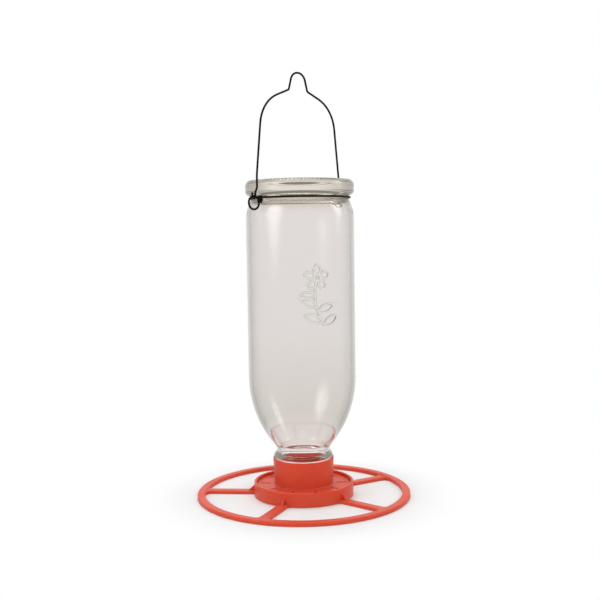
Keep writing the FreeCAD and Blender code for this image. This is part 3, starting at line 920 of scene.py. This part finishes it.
def makeDish(d):
    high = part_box("nectar_dish")[1][2]
    bowl = [(0, 0, 0), (d["outer"], 0, d["footRound"]), (d["outer"], high, d["lipRound"]),
            (d["lipInner"], high, d["lipRound"]), (d["lipInner"], d["ledgeLevel"], 0),
            (d["ledge"], d["ledgeLevel"], d["edgeRound"]), (d["ledge"], d["floor"], d["floorRound"]),
            (0, d["floor"], 0)]
    bm = bmesh.new()
    turnOutline(bm, roundedLoop(bowl), d["steps"], closed=False)
    low, outerTop, innerTop = d["ringRounds"]
    perch = [(d["ringInner"], 0, low), (d["ringOuter"], 0, low), (d["ringOuter"], d["ringHeight"], outerTop),
             (d["ringInner"], d["ringHeight"], innerTop)]
    ring = bmesh.new()
    turnOutline(ring, roundedLoop(perch), d["steps"])
    turns = [d["spokeAngle"] + fullTurn * i / d["spokeCount"] for i in range(d["spokeCount"])]
    spokes = [makeSpoke(d, turn) for turn in turns]
    gussets = [makeGusset(d, turn) for turn in turns]
    whole = joinShapes(bm, [ring, *spokes, *gussets], "UNION")
    finishPiece(whole, "dish", plastic, "base", "nectar_dish", d["sharp"])


# Cover: slotted plate, collar and spout, one red moulding

coverSizes = {
    "spoutRadius": 0.0145,
    "spoutOuter": 0.0160,
    "plateUnder": 0.0068,
    "plateTop": 0.0086,
    "rim": 0.0351,
    "collarFoot": 0.0219,
    "collarTop": 0.0228,
    "footFillet": 0.0010,
    "mouth": 0.0220,
    "mouthLow": 0.0254,
    "bore": 0.0206,
    "edgeRound": 0.0003,
    "slotCount": 10,
    "slotAngle": math.radians(-43.2),
    "slotInner": 0.0253,
    "slotOuter": 0.0318,
    "slotHalf": 0.0010,
    "slotBow": 0.00054,
    "slotEndSteps": 6,
    "flareTurns": range(0, 90, 15),
    "threadDepth": 0.0007,
    "threadShare": 0.30,
    "boreRows": 40,
    "steps": 180,
    "sharp": 32,
}


def slotPlan(c, wider):
    # A slot with bowed ends in plan, wider all round by the given amount
    half = c["slotHalf"] + wider
    bow = bowRadius(c["slotHalf"], c["slotBow"])
    inset = bow - c["slotBow"]
    turn = math.degrees(math.asin(half / (bow + wider)))
    steps = c["slotEndSteps"]
    outer = arcPoints((c["slotOuter"] - inset, 0), bow + wider, -turn, turn, steps)
    return outer + arcPoints((c["slotInner"] + inset, 0), bow + wider, 180 - turn, 180 + turn, steps)


def makeSlotCutter(c, turn):
    # The cutter flares at the plate's top, so that the slot gets a rounded edge there
    bm = bmesh.new()
    edge = c["edgeRound"]
    levels = [(c["plateUnder"] - edge, 0)]
    levels += [(c["plateTop"] - edge + edge * math.sin(a), edge - edge * math.cos(a))
               for a in map(math.radians, c["flareTurns"])]
    levels.append((c["plateTop"] + edge, edge))
    loops = []
    for level, wider in levels:
        verts = [bm.verts.new((x, y, level)) for x, y in slotPlan(c, wider)]
        loops.append([bm.edges.new((a, b)) for a, b in zip(verts, verts[1:] + verts[:1])])
    for below, above in zip(loops, loops[1:]):
        bmesh.ops.bridge_loops(bm, edges=below + above)
    for loop in (loops[0], loops[-1]):
        bmesh.ops.contextual_create(bm, geom=loop)
    bmesh.ops.recalc_face_normals(bm, faces=bm.faces)
    bmesh.ops.rotate(bm, cent=(0, 0, 0), matrix=Matrix.Rotation(turn, 3, "Z"), verts=bm.verts)
    return bm


def makeCover(c, b):
    low, high = (corner[2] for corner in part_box("feeding_cover"))
    edge = c["edgeRound"]
    boreTop = c["mouthLow"] - c["mouth"] + c["bore"]
    corners = [(c["spoutRadius"], low, edge), (c["spoutOuter"], low, edge),
               (c["spoutOuter"], c["plateUnder"], edge),
               (c["rim"], c["plateUnder"], edge), (c["rim"], c["plateTop"], edge),
               (c["collarFoot"], c["plateTop"], c["footFillet"]), (c["collarTop"], high, edge),
               (c["mouth"], high, edge), (c["mouth"], c["mouthLow"], edge), (c["bore"], boreTop, edge),
               (c["bore"], c["plateTop"], 0), (c["spoutRadius"], c["plateTop"], edge)]
    outline = roundedLoop(corners)

    # The bore gets rows for its thread, whose ridge winds midway between two turns of the bottle's
    boreFoot = outline.index(min(outline, key=lambda p: abs(p[0] - c["bore"]) + abs(p[1] - c["plateTop"])))
    outline[boreFoot:boreFoot] = linePoints(outline[boreFoot - 1], outline[boreFoot], c["boreRows"])
    bm = bmesh.new()
    turnOutline(bm, outline, c["steps"])
    raiseThread(bm, b, c["bore"], -c["threadDepth"], c["threadShare"],
                mouthLevel + b["threadStart"] + b["threadPitch"] / 2, boreTop)
    turns = [c["slotAngle"] + fullTurn * i / c["slotCount"] for i in range(c["slotCount"])]
    whole = joinShapes(bm, [makeSlotCutter(c, turn) for turn in turns], "DIFFERENCE")
    finishPiece(whole, "cover", plastic, "cover", "feeding_cover", c["sharp"])


makeDish(dishSizes)
makeCover(coverSizes, bottleSizes)


# Floor, light and camera

stageLook = {
    "floorSize": 3.0,
    "floorColour": (0.76, 0.76, 0.76),
    "floorRough": 0.9,
    "fadeStart": 0.072,
    "fadeEnd": 0.122,
    "roomSide": (-0.68, -0.73, 0.0),
    "roomLevels": ((0.010, 1.0), (0.065, 0.80), (0.15, 0.62), (0.45, 0.52), (1.0, 0.45)),
}


def roomLevel(tree, direction, g):
    # White behind the feeder and darker on the camera's side, like a room with a white backdrop.
    # What the camera sees of it directly is plain white.
    facing = vectorOf(tree, "DOT_PRODUCT", "Value", direction, g["roomSide"])
    stops = [(turned, (level, level, level)) for turned, level in g["roomLevels"]]
    room = rampOf(tree, rangeOf(tree, facing, (-1, 1)), stops)
    path = tree.nodes.new("ShaderNodeLightPath")
    return mathOf(tree, "MAXIMUM", room, path.outputs["Is Camera Ray"])


def makeFloor(g):
    bm = bmesh.new()
    bmesh.ops.create_grid(bm, x_segments=2, y_segments=2, size=g["floorSize"])
    floor = meshObject(bm, "floor")

    # The shaded floor fades into the white background away from the feeder
    material, tree, shader = newMaterial("paleFloor")
    shader.inputs["Base Color"].default_value = (*g["floorColour"], 1)
    shader.inputs["Roughness"].default_value = g["floorRough"]
    shader.inputs["Specular IOR Level"].default_value = 0.0
    place = coordinates(tree)
    towards = vectorOf(tree, "NORMALIZE", "Vector", place)
    white = tree.nodes.new("ShaderNodeEmission")
    tree.links.new(roomLevel(tree, towards, g), white.inputs["Strength"])
    reach = vectorOf(tree, "LENGTH", "Value", place)
    fade = rangeOf(tree, reach, (g["fadeStart"], g["fadeEnd"]), smooth=True)
    path = tree.nodes.new("ShaderNodeLightPath").outputs
    seen = mathOf(tree, "MAXIMUM", path["Is Camera Ray"], path["Is Glossy Ray"])
    seen = mathOf(tree, "MAXIMUM", seen, path["Is Transmission Ray"])
    share = mathOf(tree, "MULTIPLY", seen, fade)
    mixed = mixShaders(tree, share, shader.outputs["BSDF"], white.outputs["Emission"])
    tree.links.new(mixed, tree.nodes["Material Output"].inputs["Surface"])
    floor.data.materials.append(material)


def makeWorld(g):
    world = bpy.data.worlds.new("studio")
    bpy.context.scene.world = world
    world.use_nodes = True
    tree = world.node_tree
    place = tree.nodes.new("ShaderNodeTexCoord")
    backdrop = tree.nodes["Background"]
    backdrop.inputs["Color"].default_value = (1, 1, 1, 1)
    tree.links.new(roomLevel(tree, place.outputs["Generated"], g), backdrop.inputs["Strength"])


lamps = {
    "key": {"azimuth": 170, "height": 0.48, "distance": 0.9, "size": (0.95, 0.90), "power": 4.4},
    "strip": {"azimuth": 316, "height": 0.55, "distance": 0.9, "size": (0.55, 0.85), "power": 2.4},
    "over": {"azimuth": 60, "height": 1.20, "distance": 0.4, "size": (1.0, 1.0), "power": 9.0},
    "fill": {"azimuth": 246, "height": 0.70, "distance": 1.2, "size": (1.2, 0.8), "power": 9.2, "mirrored": False},
}
lampFade = {
    "start": 0.1,
    "end": 0.5,
    "middle": 2.2,
    "aim": (0, 0, 0.12),
}


def makeLamp(name, g, f):
    # A rectangular lamp that points at the bottle's middle and fades out towards its edges
    light = bpy.data.lights.new(name, "AREA")
    light.shape = "RECTANGLE"
    light.size, light.size_y = g["size"]
    light.energy = g["power"]
    light.use_nodes = True
    tree = light.node_tree
    place = tree.nodes.new("ShaderNodeNewGeometry")
    centred = vectorOf(tree, "SUBTRACT", "Vector", place.outputs["Parametric"], (0.5, 0.5, 0))
    reach = vectorOf(tree, "LENGTH", "Value", centred)
    fade = rangeOf(tree, reach, (f["start"], f["end"]), (f["middle"], 0), smooth=True)
    tree.links.new(fade, tree.nodes["Emission"].inputs["Strength"])
    lamp = linkedObject(name, light)
    turn = math.radians(g["azimuth"])
    lamp.location = (g["distance"] * math.cos(turn), g["distance"] * math.sin(turn), g["height"])
    lamp.rotation_euler = (Vector(f["aim"]) - lamp.location).to_track_quat("-Z", "Y").to_euler()
    lamp.visible_glossy = lamp.visible_transmission = g.get("mirrored", True)


cameraView = {
    "location": (-0.46994, -0.49972, 0.19718),
    "heading": math.radians(-43.169),
    "pitch": math.radians(-4.19),
    "roll": math.radians(-0.85),
    "lens": 55.37,
    "sensor": 36.0,
}


def makeCamera(g):
    data = bpy.data.cameras.new("camera")
    data.lens = g["lens"]
    data.sensor_width = g["sensor"]
    data.sensor_fit = "HORIZONTAL"
    camera = linkedObject("camera", data)
    turn = Matrix.Rotation(g["heading"], 4, "Z")
    tilt = Matrix.Rotation(math.pi / 2 + g["pitch"], 4, "X")
    roll = Matrix.Rotation(g["roll"], 4, "Z")
    camera.matrix_world = Matrix.Translation(g["location"]) @ turn @ tilt @ roll
    bpy.context.scene.camera = camera


makeFloor(stageLook)
makeWorld(stageLook)
for name, lampSettings in lamps.items():
    makeLamp(name, lampSettings, lampFade)
makeCamera(cameraView)
bpy.context.scene.view_settings.view_transform = "Standard"
print("floor, lamps and camera ready")
